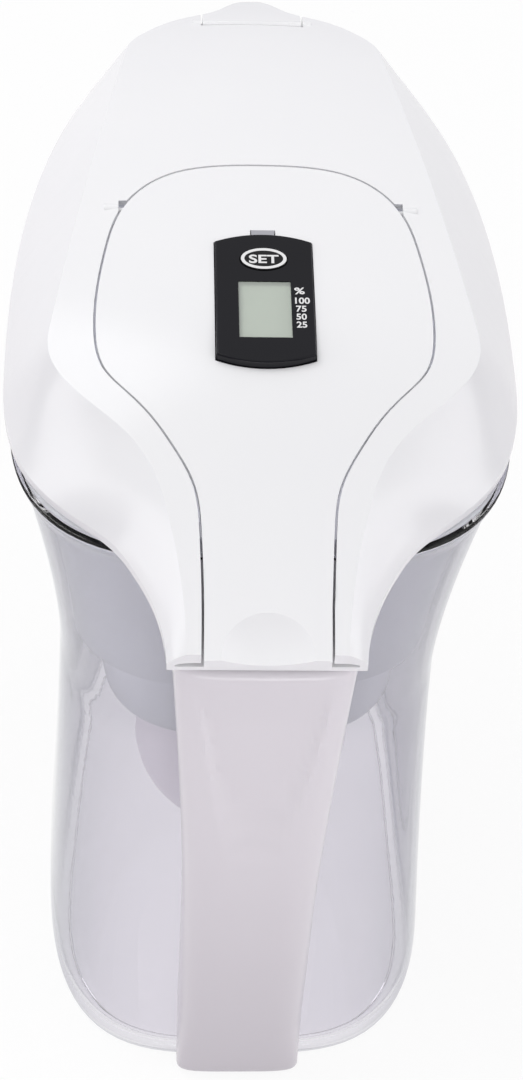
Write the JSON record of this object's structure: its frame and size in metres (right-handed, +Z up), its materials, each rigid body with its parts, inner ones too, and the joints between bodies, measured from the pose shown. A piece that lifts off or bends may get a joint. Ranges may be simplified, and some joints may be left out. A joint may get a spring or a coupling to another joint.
{
  "type": "water filter pitcher",
  "caption": "Clear water filter pitcher with a white hinged refill lid, smoky hopper, drop-in filter cartridge, white handle and a filter change indicator.",
  "frame": {"origin": "middle of the whole object's outline, on the surface it stands on", "axes": "+Z up, +Y towards the pouring lip, the handle at -Y, X across"},
  "size_m": [0.1458, 0.2555, 0.2733],
  "materials": {
    "clear_plastic": "clear polished styrene",
    "handle_white": "white moulded plastic, soft gloss",
    "smoky_plastic": "translucent blue-grey plastic",
    "cartridge_grey": "satin grey plastic",
    "seal_rubber": "matt rubber",
    "cap_white": "satin white plastic",
    "screen_mesh": "fine woven mesh",
    "filter_granules": "dark granules",
    "lid_white": "polished white plastic",
    "pin_white": "white plastic pin",
    "indicator_black": "polished black plastic",
    "window_clear": "clear window",
    "display_grey": "grey-green display",
    "connector_rubber": "elastomer",
    "board_green": "green laminate",
    "cell_steel": "nickel-plated steel",
    "button_black": "polished black plastic",
    "tab_grey": "satin grey plastic"
  },
  "bodies": {
    "jug": {"jug_body": "clear_plastic", "handle_spine": "clear_plastic", "handle_cover": "handle_white", "handle_liner": "handle_white"},
    "hopper": {"hopper": "smoky_plastic", "hopper_socket": "smoky_plastic"},
    "filter": {"cartridge_body": "cartridge_grey", "cartridge_seal": "seal_rubber", "cartridge_cap": "cap_white", "outlet_screen": "screen_mesh", "inlet_screen": "screen_mesh", "filter_media": "filter_granules"},
    "lid": {"lid_shell": "lid_white"},
    "fill_flap": {"fill_flap": "lid_white", "flap_rod": "pin_white"},
    "spout_flap": {"spout_flap": "lid_white", "spout_rod": "pin_white"},
    "indicator": {"indicator_case": "indicator_black", "indicator_bezel": "indicator_black", "indicator_window": "window_clear", "display_panel": "display_grey", "display_connector": "connector_rubber", "circuit_board": "board_green", "coin_cell": "cell_steel", "cell_clip": "cell_steel", "button_pad": "connector_rubber", "release_tab": "tab_grey"},
    "set_button": {"set_button": "button_black"}
  },
  "joints": [
    {"name": "hopper_lift", "type": "slide", "parent": "jug", "child": "hopper", "axis": [0, 0, 1], "range_m": [0, 0.2]},
    {"name": "lid_lift", "type": "slide", "parent": "hopper", "child": "lid", "axis": [0, 0, 1], "range_m": [0, 0.12]},
    {"name": "filter_lift", "type": "slide", "parent": "hopper", "child": "filter", "axis": [0, 0, 1], "range_m": [0, 0.07]},
    {"name": "fill_flap_hinge", "type": "hinge", "parent": "lid", "child": "fill_flap", "pos_m": [0, 0.016, 0.2671], "axis": [-1, 0, 0], "range_deg": [0, 80]},
    {"name": "spout_flap_hinge", "type": "hinge", "parent": "lid", "child": "spout_flap", "pos_m": [0, 0.1124, 0.2503], "axis": [1, 0, 0], "range_deg": [0, 60]},
    {"name": "indicator_lift", "type": "slide", "parent": "fill_flap", "child": "indicator", "axis": [0, 0, 1], "range_m": [0, 0.014]},
    {"name": "set_button_press", "type": "slide", "parent": "indicator", "child": "set_button", "axis": [0, 0, -1], "range_m": [0, 0.0005], "stiffness_N_per_m": 400, "springref_m": -0.001}
  ]
}
